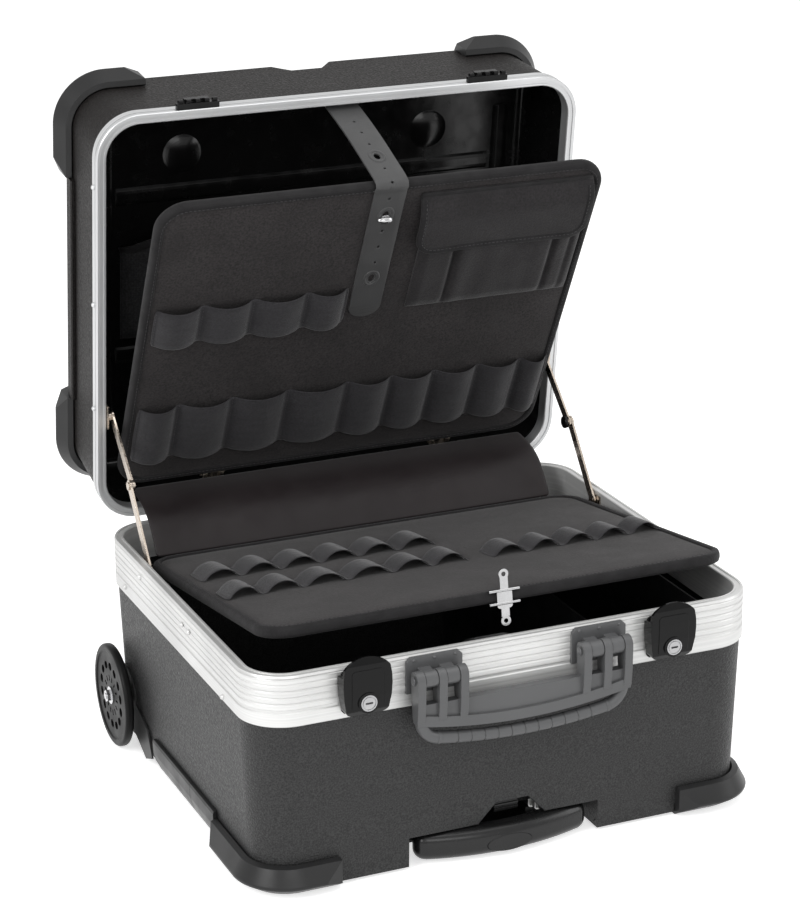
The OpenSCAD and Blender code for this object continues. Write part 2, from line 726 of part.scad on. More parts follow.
// flat document pocket on the panel, open along its bowed upper edge
module document_pocket() {
  left = -196;
  right = -62;
  low = 60;
  color("#161617") lid_open() {
    difference() {
      translate([0, 0, 297.6]) linear_extrude(12.2) pocket_outline(left, right, low, -52);
      translate([0, 0, 299.2]) linear_extrude(10.61) pocket_outline(left + 2, right - 2, low - 2, -90);
    }
  }
}
// its upper edge bows up to the height given
module pocket_outline(left, right, low, high) {
  bow = 165;
  polygon(concat(
    [[left, low], [right, low], [right, high + 14]],
    [for (i = [0:10]) let (a = 66 + 4.8*i) [(left + right)/2 + bow*cos(a), high + bow - bow*sin(a)]],
    [[left, high + 14]]
  ));
}

module pallet_hinge_arms() {
  color("#9b9c9a") lid_open() both_sides() {
    block([119, 131], [upper_y - 2.4, back - 9.7], [upper_z - 3, upper_z + 3]);
    rod_x(113, 137, upper_y, upper_z, 2);
  }
}

// ---------- upper pallet ----------

module board(width, len_y, rear) {
  linear_extrude(board_t) translate([0, rear - len_y/2]) rounded_rect(width, len_y, pallet_r);
}
module upper_pallet_board() {
  color("#222124") upper_place()
    translate([0, 0, upper_z - board_t/2]) board(pallet_w, upper_len, upper_y - 4.6);
}
module upper_pallet_clips() {
  color("#a6a7a5") upper_place() both_sides() for (x = [113.2, 131.4]) difference() {
    union() {
      rod_x(x, x + 5.4, upper_y, upper_z, 3.9);
      block([x, x + 5.4], [upper_y - 4.5, upper_y], [upper_z - 3.9, upper_z + 3.9]);
    }
    rod_x(x - 1, x + 7, upper_y, upper_z, 2.1);
  }
}

// one elastic loop: an arch with its two sewn feet, standing along +Z from y = 0
module loop_arch(w, rise) {
  half = w/2 - 3;
  r = (half*half + rise*rise)/(2*rise);
  intersection() {
    translate([0, rise - r]) difference() {
      circle(r, $fn = 96);
      circle(r - loop_t, $fn = 96);
    }
    translate([-w/2, 0]) square([w, rise + 1]);
  }
}
// a row of loops between the given edges, hanging under a flat pallet
module loops_under(edges, y0, y1) {
  for (i = [0:len(edges) - 2]) translate([0, 0, upper_face - 0.05]) mirror([0, 0, 1]) front_view(y0, y1)
    translate([(edges[i] + edges[i + 1])/2, 0]) loop_arch(edges[i + 1] - edges[i] - 1, loop_rise);
}
module loops_over(edges, y0, y1) {
  for (i = [0:len(edges) - 2]) translate([0, 0, lower_face + 0.05]) front_view(y0, y1)
    translate([(edges[i] + edges[i + 1])/2, 0]) loop_arch(edges[i + 1] - edges[i] - 1, loop_rise);
}
module upper_loops_high() {
  color("#3a393b") upper_place() loops_under([-216, -168, -117, -62, -20], upper_y - 242, upper_y - 196);
}
module upper_loops_low() {
  color("#343335") upper_place()
    loops_under([-218, -176, -120, -61, 2, 50, 96, 145, 192, 224], upper_y - 112, upper_y - 40);
}

// pleated tool pocket: full between two deep folds, its height over the pallet's face from a formula
pocket_x = [44, 218];
folds_x = [80, 186];
function fold(x, at) = 5*exp(-pow((x - at)/3.2, 2));
function pocket_h(x) = min(10, 0.8 + 1.6*(x - pocket_x[0]), 0.8 + 1.6*(pocket_x[1] - x))
  - fold(x, folds_x[0]) - fold(x, folds_x[1]);

module tool_pocket() {
  mouth = upper_y - 310;
  foot = upper_y - 203;
  color("#2a282b") upper_place() difference() {
    front_view(mouth, foot) pocket_section(0, 0.1);
    front_view(mouth - 1, foot - 2) pocket_section(2, -1);
  }
}
module pocket_section(inset, back) {
  left = pocket_x[0] + inset;
  right = pocket_x[1] - inset;
  polygon(concat([for (x = [left:2:right]) [x, upper_face - pocket_h(x) + inset*0.8]],
                 [[right, upper_face - back], [left, upper_face - back]]));
}
// flap sewn on over the pocket, falling from its head over the mouth
module pocket_flap() {
  head = upper_y - 347;
  color("#252326") upper_place() intersection() {
    translate([125, head + 32.5, upper_face - 14]) linear_extrude(15) flap_outline(194, 67);
    side_view(34, 216) route_band([for (k = [0:8])
      [head + 8.1*k, upper_face - 0.9 - 10.9*sin(min(90, 26*k))]], 1.6);
  }
}
module flap_outline(w, d) {
  translate([0, -d/4 + 1]) square([w - 12, d/2], center = true);
  rounded_rect(w - 12, d - 2, 18);
}

module pallet_strap() {
  color("#515153") upper_place()
    block([-strap_w/2, strap_w/2], [upper_y - upper_len - 4.6, upper_y - 200],
          [upper_face - 2.3, upper_face - 0.3]);
}
module strap_stud() {
  color("#c9c2b4") upper_place() translate([0, upper_y - 328, upper_face - 2.5]) mirror([0, 0, 1]) {
    cylinder(r = 5, h = 1.2);
    intersection() {
      translate([0, 0, 1.2]) scale([1, 0.45, 0.55]) sphere(8);
      translate([-10, -5, 1.2]) cube([20, 10, 8]);
    }
  }
}

// free stretch of the lid strap, from the lid's front wall to the pallet's top edge
module lid_strap() {
  top_edge = [upper_y - upper_len - 6.6, upper_face - 1.3];
  c = cos(upper_lean);
  s = sin(upper_lean);
  v = top_edge - [upper_y, upper_z];
  start = [upper_y + v.x*c - v.y*s, upper_z + v.x*s + v.y*c];
  end = [front + 12.4, seam_z + 22];
  chord = end - start;
  side = [chord.y, -chord.x]/norm(chord);
  color("#4c4c4e") lid_open() side_view(-strap_w/2, strap_w/2)
    route_band([for (i = [0:10]) start + chord*i/10 - side*3*sin(18*i)], strap_t);
}

// ---------- lower pallet and link sheet ----------

module lower_pallet_board() {
  color("#252427") lower_place()
    translate([4, 0, lower_z - board_t/2]) board(pallet_w + 6, lower_len, lower_y - 0.5);
}
module lower_loops() {
  color("#343335") lower_place() {
    loops_over([-216, -180, -140, -96, -51, -11, 26], -60, -24);
    loops_over([48, 86, 122, 158, 194, 228], -64, -28);
    loops_over([-212, -172, -132, -92, -52, -12, 28], 20, 60);
  }
}

// two-armed clip on the lower pallet's front edge: an eyelet on each arm, a jaw on each face of the board
module spring_clip() {
  edge = lower_y - 0.5 - lower_len;
  mid = 1.5;
  arms = [21, -22];
  color("#c8c9c8") lower_place() {
    front_view(edge - 2, edge - 0.4) difference() {
      union() {
        translate([mid, lower_z]) square([8, 36], center = true);
        translate([mid, lower_z - 2]) rounded_rect(15, 17, 3);
        for (z = arms) translate([mid, lower_z + z]) circle(4.8);
      }
      for (z = arms) translate([mid, lower_z + z]) circle(2.1);
    }
    for (m = [0, 1]) translate([mid, 0, lower_z]) mirror([0, 0, m]) {
      block([-15, 15], [edge - 1.2, edge + 4], [board_t/2 + 0.1, board_t/2 + 1.5]);
      rod_x(-15, 15, edge - 1.2, board_t/2 + 1.5, 1.4);
    }
  }
}

// smooth sheet bowing between the two pallets
module link_sheet() {
  a = [lower_y + 2.6, lower_z + 3.6];
  b = [229.5, 241];
  chord = b - a;
  side = [-chord.y, chord.x]/norm(chord);
  color("#2b292b") side_view(-214, 214) route_band([for (i = [0:10]) a + chord*i/10 + side*14*sin(18*i)], 2.4);
}

// ---------- nodes ----------

base_shell();
base_rim();
base_rivets();
base_bumper_left();
base_bumper_right();
base_runners();
wheel_housings();
wheel_left();
wheel_right();
trolley_cover();
trolley_outer_tubes();
trolley_middle_tubes();
trolley_inner_tubes();
trolley_grip();
trolley_button();
grip_catch();
hinge_base_leaf();
hinge_lid_leaf();
hinge_pin();
latch_plates();
latch_lever_left();
latch_lever_right();
key_cylinder_left();
key_cylinder_right();
handle_brackets();
handle_pins();
carry_handle();
dividers();
base_strap();
stay_base_pivots();
stay_lower_left();
stay_lower_right();
stay_upper_left();
stay_upper_right();
lid_shell();
lid_rim();
lid_rivets();
lid_bumper_front_left();
lid_bumper_front_right();
lid_bumper_rear_left();
lid_bumper_rear_right();
lid_runners();
lid_catches();
lid_liner();
document_pocket();
stay_lid_pivots();
pallet_hinge_arms();
lid_strap();
upper_pallet_board();
upper_pallet_clips();
upper_loops_high();
upper_loops_low();
tool_pocket();
pocket_flap();
pallet_strap();
strap_stud();
lower_pallet_board();
lower_loops();
spring_clip();
link_sheet();
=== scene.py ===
"""Looks of the hard tool case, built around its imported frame.

Blender works in metres. Places are written in the case's own millimetres, and MM turns them into metres.
"""
import math

import bmesh
import bpy
from mathutils import Matrix, Vector, noise


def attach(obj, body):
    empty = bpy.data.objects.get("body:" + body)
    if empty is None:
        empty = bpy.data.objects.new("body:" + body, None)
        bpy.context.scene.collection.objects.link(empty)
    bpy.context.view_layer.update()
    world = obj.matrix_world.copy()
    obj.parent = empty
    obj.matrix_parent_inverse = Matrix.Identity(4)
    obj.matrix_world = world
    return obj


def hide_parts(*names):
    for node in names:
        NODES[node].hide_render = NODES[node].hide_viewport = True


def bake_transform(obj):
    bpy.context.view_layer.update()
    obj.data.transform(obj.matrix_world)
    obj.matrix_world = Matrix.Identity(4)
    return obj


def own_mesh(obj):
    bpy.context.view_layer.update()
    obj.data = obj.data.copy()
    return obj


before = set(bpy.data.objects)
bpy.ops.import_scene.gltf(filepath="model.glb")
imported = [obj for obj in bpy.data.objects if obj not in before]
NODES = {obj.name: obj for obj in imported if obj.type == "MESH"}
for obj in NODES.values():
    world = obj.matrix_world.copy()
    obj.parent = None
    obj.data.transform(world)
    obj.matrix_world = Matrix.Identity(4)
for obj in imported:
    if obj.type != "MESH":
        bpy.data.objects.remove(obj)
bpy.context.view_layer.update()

MM = 0.001

# ---------- places, in the case's millimetres ----------

LID_ANGLE = 82.1
UPPER_LEAN = 20.0
LOWER_LIFT = 8.5
HINGE = (218.5, 202.5)
UPPER_PIVOT = (182.0, 228.0)
LOWER_PIVOT = (151.0, 191.0)

PALLET_W = 456.0
LOWER_W = 462.0
LOWER_SHIFT = 4.0      # the lower pallet stands this far to the right
PALLET_R = 30.0
BOARD_T = 9.0
UPPER_LEN = 363.0
LOWER_LEN = 336.0
UPPER_REAR = 177.4     # shut position of the upper pallet's hinge edge
UPPER_FACE = 223.5
LOWER_FRONT = -185.5   # flat position of the lower pallet's front edge
LOWER_FACE = 195.5
STRAP_W = 33.0
STRAP_T = 2.0


def turned(pivot, angle):
    """Turn about the X axis through a side-view point, in millimetres."""
    y, z = pivot
    return (Matrix.Translation((0, y, z)) @ Matrix.Rotation(math.radians(angle), 4, "X")
            @ Matrix.Translation((0, -y, -z)))


LID = turned(HINGE, -LID_ANGLE)
UPPER = LID @ turned(UPPER_PIVOT, UPPER_LEAN)
LOWER = turned(LOWER_PIVOT, -LOWER_LIFT)
# pallet frames: x across, y up the board from its near edge, z out of its face
UPPER_FRAME = UPPER @ Matrix(((1, 0, 0, 0), (0, -1, 0, UPPER_REAR), (0, 0, -1, UPPER_FACE), (0, 0, 0, 1)))
LOWER_FRAME = LOWER @ Matrix.Translation((0, LOWER_FRONT, LOWER_FACE))
# lid panel frame: x across, y towards the lid's front edge, z out of the panel into the lid
PANEL_Z = 310.0
PANEL_FRAME = LID @ Matrix(((1, 0, 0, 0), (0, -1, 0, 0), (0, 0, -1, PANEL_Z), (0, 0, 0, 1)))


def metres(matrix):
    """The same placement for a mesh whose points are in metres."""
    m = matrix.copy()
    m.translation = matrix.translation * MM
    return m


# ---------- meshes ----------

def add_mesh(name, points, faces, place=None, smooth=True):
    """Mesh object from points in millimetres, standing in the frame given."""
    mesh = bpy.data.meshes.new(name)
    mesh.from_pydata([[c * MM for c in p] for p in points], [], faces)
    mesh.validate()
    obj = bpy.data.objects.new(name, mesh)
    bpy.context.scene.collection.objects.link(obj)
    if place is not None:
        obj.matrix_world = metres(place)
    bm = bmesh.new()
    bm.from_mesh(mesh)
    bmesh.ops.recalc_face_normals(bm, faces=bm.faces)
    bm.to_mesh(mesh)
    bm.free()
    if smooth:
        mesh.shade_smooth()
    return obj


def add_modifier(obj, kind, name, **settings):
    modifier = obj.modifiers.new(name, kind)
    for key, value in settings.items():
        setattr(modifier, key, value)
    return modifier


def applied(obj):
    """Makes the modifiers' result the object's own mesh."""
    graph = bpy.context.evaluated_depsgraph_get()
    mesh = bpy.data.meshes.new_from_object(obj.evaluated_get(graph))
    obj.modifiers.clear()
    obj.data = mesh
    return obj


def rounded_rect(width, length, radius, corner_points=10, side_points=12):
    """Points round a rectangle centred on x with its near edge at y = 0, always the same number."""
    radius = max(radius, 0.01)
    half_w, points = width / 2 - radius, []
    corners = [(half_w, radius, -90), (half_w, length - radius, 0),
               (-half_w, length - radius, 90), (-half_w, radius, 180)]
    for i, (x, y, start) in enumerate(corners):
        for k in range(corner_points + 1):
            a = math.radians(start + 90 * k / corner_points)
            points.append((x + radius * math.cos(a), y + radius * math.sin(a)))
        nx, ny, nstart = corners[(i + 1) % 4]
        a = math.radians(nstart)
        target = (nx + radius * math.cos(a), ny + radius * math.sin(a))
        last = points[-1]
        for k in range(1, side_points):
            t = k / side_points
            points.append((last[0] + (target[0] - last[0]) * t, last[1] + (target[1] - last[1]) * t))
    return points


def outline_rings(width, length, radius, profile):
    """Rings of points round a board: each profile entry is (inset from the edge, height)."""
    rings = []
    for inset, height in profile:
        ring = rounded_rect(width - 2 * inset, length - 2 * inset, radius - inset)
        rings.append([(x, y + inset, height) for x, y in ring])
    return rings


def lofted(name, rings, place, cap_first=False, cap_last=False, loop=False, ruffle=None):
    """Closed rings joined in order; loop joins the last to the first."""
    count = len(rings[0])
    points = [p for ring in rings for p in ring]
    if ruffle:
        points = [ruffle(p) for p in points]
    faces = []
    pairs = list(range(len(rings) - 1)) + ([len(rings) - 1] if loop else [])
    for r in pairs:
        a, b = r * count, ((r + 1) % len(rings)) * count
        for k in range(count):
            n = (k + 1) % count
            faces.append((a + k, a + n, b + n, b + k))
    if cap_first:
        faces.append(tuple(reversed(range(count))))
    if cap_last:
        faces.append(tuple(range((len(rings) - 1) * count, len(rings) * count)))
    return add_mesh(name, points, faces, place)


def grid_sheet(name, columns, rows, at, place, thickness=1.2):
    """Sheet whose points come from at(u, v), u and v from 0 to 1, given a thickness by a modifier."""
    points = [at(i / columns, j / rows) for j in range(rows + 1) for i in range(columns + 1)]
    faces = []
    for j in range(rows):
        for i in range(columns):
            a = j * (columns + 1) + i
            faces.append((a, a + 1, a + columns + 2, a + columns + 1))
    obj = add_mesh(name, points, faces, place)
    add_modifier(obj, "SOLIDIFY", "thickness", thickness=thickness * MM, offset=0)
    add_modifier(obj, "SUBSURF", "smooth", levels=1, render_levels=1)
    return applied(obj)


def band(name, route, half_width, thickness, place, across=Vector((1, 0, 0))):
    """Flat band with rounded edges along a route of points; across is its sideways direction."""
    half = thickness / 2
    section = [(-half_width, 0.0), (-half_width + half, half), (half_width - half, half),
               (half_width, 0.0), (half_width - half, -half), (-half_width + half, -half)]
    points, faces = [], []
    for i, p in enumerate(route):
        ahead = (route[min(i + 1, len(route) - 1)] - route[max(i - 1, 0)]).normalized()
        side = (across - ahead * across.dot(ahead)).normalized()
        up = side.cross(ahead)
        points += [tuple(p + side * a + up * b) for a, b in section]
    n = len(section)
    for i in range(len(route) - 1):
        for k in range(n):
            a, b = i * n + k, i * n + (k + 1) % n
            faces.append((a, b, b + n, a + n))
    faces.append(tuple(range(n)))
    faces.append(tuple(reversed(range((len(route) - 1) * n, len(route) * n))))
    return add_mesh(name, points, faces, place)


def stitches(name, path, place, pitch=4.2, length=2.7, radius=0.28, lift=0.15):
    """Row of thread stitches along a path of (x, y, z) points in the frame given."""
    points, faces = [], []
    travelled, next_at = 0.0, pitch / 2
    for a, b in zip(path[:-1], path[1:]):
        a, b = Vector(a), Vector(b)
        step = (b - a).length
        if step < 1e-6:
            continue
        ahead = (b - a) / step
        while next_at <= travelled + step:
            centre = a + ahead * (next_at - travelled) + Vector((0, 0, lift))
            side = ahead.cross(Vector((0, 0, 1))).normalized()
            up = side.cross(ahead)
            base = len(points)
            for t, r in ((-0.5, 0.35), (-0.3, 1.0), (0.3, 1.0), (0.5, 0.35)):
                for k in range(5):
                    w = 2 * math.pi * k / 5
                    points.append(tuple(centre + ahead * t * length
                                        + (side * math.cos(w) + up * math.sin(w)) * radius * r))
            for ring in range(3):
                for k in range(5):
                    c, d = base + ring * 5 + k, base + ring * 5 + (k + 1) % 5
                    faces.append((c, d, d + 5, c + 5))
            faces.append(tuple(base + k for k in range(5)))
            faces.append(tuple(base + 15 + k for k in reversed(range(5))))
            next_at += pitch
        travelled += step
    return add_mesh(name, points, faces, place)


# ---------- materials ----------

class Paint:
    """One Principled material and short calls for the nodes that feed it.

    Bump distances are in millimetres; noise and cell scales are per metre.
    """

    def __init__(self, name, base, roughness, metallic=0.0, **shader):
        self.material = bpy.data.materials.new(name)
        self.material.use_nodes = True
        self.tree = self.material.node_tree
        self.bsdf = self.tree.nodes["Principled BSDF"]
        self.set("Base Color", (*base, 1))
        self.set("Roughness", roughness)
        self.set("Metallic", metallic)
        for key, value in shader.items():
            self.set(key.replace("_", " "), value)
        self.coord = self.node("ShaderNodeTexCoord").outputs["Object"]
        self.height = None

    def set(self, socket, value):
        self.bsdf.inputs[socket].default_value = value

    def node(self, kind, **settings):
        made = self.tree.nodes.new(kind)
        for key, value in settings.items():
            setattr(made, key, value)
        return made

    def link(self, a, b):
        self.tree.links.new(a, b)

    def stretched(self, scale):
        mapping = self.node("ShaderNodeMapping")
        mapping.inputs["Scale"].default_value = scale
        self.link(self.coord, mapping.inputs["Vector"])
        return mapping.outputs["Vector"]

    def noise(self, scale, detail=3.0, stretch=None):
        made = self.node("ShaderNodeTexNoise")
        made.inputs["Scale"].default_value = scale
        made.inputs["Detail"].default_value = detail
        self.link(self.stretched(stretch) if stretch else self.coord, made.inputs["Vector"])
        return made.outputs["Fac"]

    def cells(self, scale, feature="F1"):
        made = self.node("ShaderNodeTexVoronoi", feature=feature)
        made.inputs["Scale"].default_value = scale
        self.link(self.coord, made.inputs["Vector"])
        return made.outputs["Distance"]

    def weave(self, pitch):
        """Over-and-under weave in the object's own x and y."""
        waves = []
        for direction in ("X", "Y"):
            wave = self.node("ShaderNodeTexWave", wave_type="BANDS", bands_direction=direction)
            wave.inputs["Scale"].default_value = math.pi / 10 / pitch / MM
            self.link(self.coord, wave.inputs["Vector"])
            waves.append(wave.outputs["Fac"])
        return self.math("MULTIPLY", *waves)

    def ridges(self, pitch, direction="Y"):
        wave = self.node("ShaderNodeTexWave", wave_type="BANDS", bands_direction=direction)
        wave.inputs["Scale"].default_value = math.pi / 10 / pitch / MM
        self.link(self.coord, wave.inputs["Vector"])
        return wave.outputs["Fac"]

    def math(self, operation, a, b):
        made = self.node("ShaderNodeMath", operation=operation)
        for socket, value in zip(made.inputs, (a, b)):
            if isinstance(value, (int, float)):
                socket.default_value = value
            else:
                self.link(value, socket)
        return made.outputs["Value"]

    def ramp(self, value, low, high, start=0.0, end=1.0):
        made = self.node("ShaderNodeMapRange")
        made.inputs["From Min"].default_value = start
        made.inputs["From Max"].default_value = end
        made.inputs["To Min"].default_value = low
        made.inputs["To Max"].default_value = high
        self.link(value, made.inputs["Value"])
        return made.outputs["Result"]

    def tint(self, value, dark, light):
        """Base colour from dark to light by a 0 to 1 value."""
        made = self.node("ShaderNodeMix", data_type="RGBA")
        made.inputs[6].default_value = (*dark, 1)
        made.inputs[7].default_value = (*light, 1)
        self.link(value, made.inputs[0])
        self.link(made.outputs[2], self.bsdf.inputs["Base Color"])
        return self

    def rough(self, value, low, high, start=0.3, end=0.7):
        self.link(self.ramp(value, low, high, start, end), self.bsdf.inputs["Roughness"])
        return self

    def bump(self, value, distance_mm, strength=1.0):
        """Adds one height layer; layers stack."""
        made = self.node("ShaderNodeBump")
        made.inputs["Strength"].default_value = strength
        made.inputs["Distance"].default_value = distance_mm * MM
        self.link(value, made.inputs["Height"])
        if self.height is not None:
            self.link(self.height, made.inputs["Normal"])
        self.height = made.outputs["Normal"]
        self.link(self.height, self.bsdf.inputs["Normal"])
        return self

    def soft_edges(self, radius_mm):
        made = self.node("ShaderNodeBevel", samples=4)
        made.inputs["Radius"].default_value = radius_mm * MM
        self.height = made.outputs["Normal"]
        self.link(self.height, self.bsdf.inputs["Normal"])
        return self


def shade(colour, factor):
    """The colour made darker or lighter."""
    return tuple(min(1.0, c * factor) for c in colour)


def grained_shell(name, colour, shine):
    """Pebble-grain moulded plastic: grains of about 1.7 mm, speckled, with patchy roughness."""
    p = Paint(name, colour, 0.5, Specular_IOR_Level=shine)
    p.soft_edges(0.8)
    grains = p.cells(600, "SMOOTH_F1")
    speckle = p.ramp(p.noise(720, 2), 0.0, 1.0, 0.36, 0.64)
    p.tint(speckle, shade(colour, 0.5), shade(colour, 1.65))
    p.rough(p.noise(460, 2), 0.38, 0.6)
    return p.bump(grains, 0.6, 0.75).bump(p.noise(900, 2), 0.3, 0.5).material


def satin_plastic(name, colour, roughness=0.42, shine=0.3):
    """Fine satin moulding with faint flow marks."""
    p = Paint(name, colour, roughness, Specular_IOR_Level=shine)
    p.soft_edges(0.7)
    p.tint(p.noise(14, 4), shade(colour, 0.88), shade(colour, 1.12))
    p.rough(p.noise(45, 4), roughness - 0.07, roughness + 0.08)
    return p.bump(p.noise(900, 2), 0.08, 0.3).material


def gloss_plastic(name, colour, roughness=0.12, ripple=0.0, shine=0.28):
    """Polished plastic; ripple is the height of its slow waves in millimetres."""
    p = Paint(name, colour, roughness, Specular_IOR_Level=shine)
    p.soft_edges(0.6)
    p.tint(p.noise(12, 3), shade(colour, 0.8), shade(colour, 1.2))
    p.rough(p.noise(70, 4), roughness * 0.7, roughness * 1.5)
    if ripple:
        p.bump(p.noise(16, 2), ripple, 0.6)
    return p.bump(p.noise(700, 2), 0.03, 0.2).material


def anodised(name, colour, tilt=0.0, roughness=0.34, metallic=0.72):
    """Satin anodised band: faint drawn lines round the case, tilted with the lid, and soft cloudiness."""
    p = Paint(name, colour, roughness, metallic=metallic)
    turned_back = p.node("ShaderNodeMapping")
    turned_back.inputs["Rotation"].default_value = (math.radians(tilt), 0, 0)
    p.link(p.coord, turned_back.inputs["Vector"])
    p.coord = turned_back.outputs["Vector"]
    drawn = p.noise(1.0, 3, stretch=(2.5, 2.5, 520))
    p.tint(p.math("ADD", p.ramp(drawn, -0.3, 0.55, 0.3, 0.7), p.ramp(p.noise(9, 3), 0.0, 0.6, 0.35, 0.65)),
           shade(colour, 0.86), shade(colour, 1.1))
    p.rough(drawn, roughness - 0.05, roughness + 0.06)
    return p.bump(drawn, 0.02, 0.35).material


def plated(name, colour, roughness):
    """Plated metal with softened edges and faint handling marks."""
    p = Paint(name, colour, roughness, metallic=1.0)
    p.soft_edges(0.3)
    p.tint(p.noise(90, 3), shade(colour, 0.9), shade(colour, 1.06))
    p.rough(p.noise(180, 3), roughness * 0.7, roughness * 1.6)
    return p.bump(p.noise(500, 2), 0.02, 0.3).material


def woven(name, colour, pitch=1.1, sheen=0.1):
    """Polyester cloth: a weave with light and dark flecks, soft creases and a faint sheen."""
    p = Paint(name, colour, 0.8, Specular_IOR_Level=0.25, Sheen_Weight=sheen, Sheen_Roughness=0.45)
    flecks = p.ramp(p.noise(480, 2), 0.1, 1.9, 0.3, 0.7)
    p.tint(p.math("MULTIPLY", p.math("MULTIPLY", p.noise(18, 4), flecks), p.ramp(p.weave(pitch), 0.75, 1.25)),
           shade(colour, 0.45), shade(colour, 1.75))
    p.rough(p.noise(30, 3), 0.72, 0.88)
    p.bump(p.noise(22, 3), 0.6, 0.35).bump(p.noise(480, 2), 0.35, 0.6)
    return p.bump(p.weave(pitch), 0.22, 0.6).material


def elastic(name, colour, sheen=0.25):
    """Ribbed elastic webbing."""
    p = Paint(name, colour, 0.75, Specular_IOR_Level=0.3, Sheen_Weight=sheen, Sheen_Roughness=0.4)
    flecks = p.ramp(p.noise(520, 2), 0.1, 1.9, 0.3, 0.7)
    p.tint(p.math("MULTIPLY", p.noise(35, 4), flecks), shade(colour, 0.6), shade(colour, 1.5))
    p.rough(p.noise(60, 3), 0.68, 0.85)
    return p.bump(p.ridges(1.3, "Y"), 0.25, 0.6).bump(p.weave(0.7), 0.12, 0.4).material


def hide(name, colour, roughness=0.5, shine=0.4):
    """Smooth synthetic leather or strap with a fine pore grain."""
    p = Paint(name, colour, roughness, Specular_IOR_Level=shine, Sheen_Weight=0.1)
    p.tint(p.noise(16, 4), shade(colour, 0.85), shade(colour, 1.2))
    p.rough(p.noise(40, 3), roughness - 0.08, roughness + 0.1)
    return p.bump(p.noise(14, 2), 0.8, 0.3).bump(p.cells(900), 0.12, 0.5).material


SHELL = grained_shell("shell_grain", (0.0215, 0.0215, 0.0217), 0.27)
# The lid shell is the base's grained plastic at about half its colour, with a warm tint: the darkness is
# painted shade on the lid and its runners.
SHADED_LID_SKIN = grained_shell("lid_grain_painted_shade", (0.0115, 0.0103, 0.0099), 0.09)
BUMPER = satin_plastic("bumper_plastic", (0.0165, 0.0165, 0.0168), 0.36, 0.26)
HANDLE = satin_plastic("handle_plastic", (0.085, 0.086, 0.088), 0.36, 0.4)
WHEEL = satin_plastic("wheel_plastic", (0.006, 0.006, 0.0062), 0.4, 0.12)
GRIP = satin_plastic("grip_plastic", (0.008, 0.008, 0.0082), 0.24, 0.34)
BAND = anodised("anodised_band", (0.62, 0.62, 0.612), roughness=0.38, metallic=0.45)
LID_BAND = anodised("anodised_lid_band", (0.57, 0.575, 0.58), LID_ANGLE, 0.38)
LATCH = gloss_plastic("latch_gloss", (0.0035, 0.0035, 0.0036), 0.14, shine=0.16)
LINER = gloss_plastic("liner_gloss", (0.004, 0.004, 0.004), 0.2, ripple=1.6, shine=0.3)
CHROME = plated("chrome", (0.46, 0.46, 0.465), 0.2)
KEY_STEEL = plated("key_steel", (0.36, 0.36, 0.365), 0.3)
NICKEL = plated("nickel", (0.46, 0.4, 0.34), 0.22)
STEEL = plated("plated_steel", (0.62, 0.62, 0.61), 0.32)
CLOTH = woven("pallet_cloth", (0.0185, 0.0162, 0.0165))
POCKET = woven("pocket_cloth", (0.0105, 0.0092, 0.01), 1.0, 0.2)
NET = woven("document_cloth", (0.018, 0.018, 0.019), 2.4)
ELASTIC = elastic("loop_elastic", (0.017, 0.016, 0.018))
BINDING = elastic("edge_binding", (0.0045, 0.004, 0.0045), 0.05)
THREAD = woven("thread", (0.05, 0.047, 0.05), 0.5)
LINK = hide("link_leather", (0.0085, 0.0055, 0.006), 0.46, 0.25)
STRAP = hide("strap_rubber", (0.041, 0.041, 0.0415), 0.46)
LINING = satin_plastic("divider_plastic", (0.02, 0.02, 0.021), 0.5)


def nut_and_plate(name, plate, metal, from_x):
    """Dark plastic within from_x of the middle, bright plated metal beyond it: the wheel bolts' heads."""
    p = Paint(name, plate, 0.42)
    apart = p.node("ShaderNodeSeparateXYZ")
    p.link(p.coord, apart.inputs[0])
    outside = p.math("GREATER_THAN", p.math("ABSOLUTE", apart.outputs["X"], 0.0), from_x * MM)
    p.tint(outside, plate, metal)
    p.link(outside, p.bsdf.inputs["Metallic"])
    p.link(p.ramp(outside, 0.42, 0.16), p.bsdf.inputs["Roughness"])
    return p.bump(p.noise(900, 2), 0.05, 0.3).material


BOLT_HEAD_X = 262.65
HOUSING = nut_and_plate("housing_plastic", (0.012, 0.012, 0.0122), (0.6, 0.6, 0.61), BOLT_HEAD_X)

LOOK_OF = {
    SHELL: ["base_shell"],
    SHADED_LID_SKIN: ["lid_shell", "lid_runners"],
    BUMPER: ["base_bumper_left", "base_bumper_right", "base_runners",
             "lid_bumper_front_left", "lid_bumper_front_right", "lid_bumper_rear_left",
             "lid_bumper_rear_right", "trolley_cover"],
    HANDLE: ["handle_brackets", "carry_handle", "handle_pins"],
    HOUSING: ["wheel_housings"],
    WHEEL: ["wheel_left", "wheel_right"],
    GRIP: ["trolley_grip", "trolley_button", "grip_catch"],
    BAND: ["base_rim", "base_rivets"],
    LID_BAND: ["lid_rim", "lid_rivets"],
    LATCH: ["latch_plates", "latch_lever_left", "latch_lever_right", "lid_catches"],
    LINER: ["lid_liner"],
    CHROME: ["spring_clip", "strap_stud"],
    KEY_STEEL: ["key_cylinder_left", "key_cylinder_right"],
    NICKEL: ["stay_base_pivots", "stay_lower_left", "stay_lower_right", "stay_upper_left",
             "stay_upper_right", "stay_lid_pivots", "upper_pallet_clips", "pallet_hinge_arms"],
    STEEL: ["hinge_base_leaf", "hinge_lid_leaf", "hinge_pin", "trolley_outer_tubes",
            "trolley_middle_tubes", "trolley_inner_tubes"],
    LINING: ["dividers"],
}
for look, names in LOOK_OF.items():
    for node_name in names:
        NODES[node_name].data.materials.clear()
        NODES[node_name].data.materials.append(look)


def finish_piece(obj, look, body=None, replaced=()):
    """Material, slot, the CAD node it stands for, and the body it rides on."""
    obj.data.materials.clear()
    obj.data.materials.append(look)
    if replaced:
        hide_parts(*replaced)
    if body:
        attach(obj, body)
    return obj


# ---------- padded pallets ----------

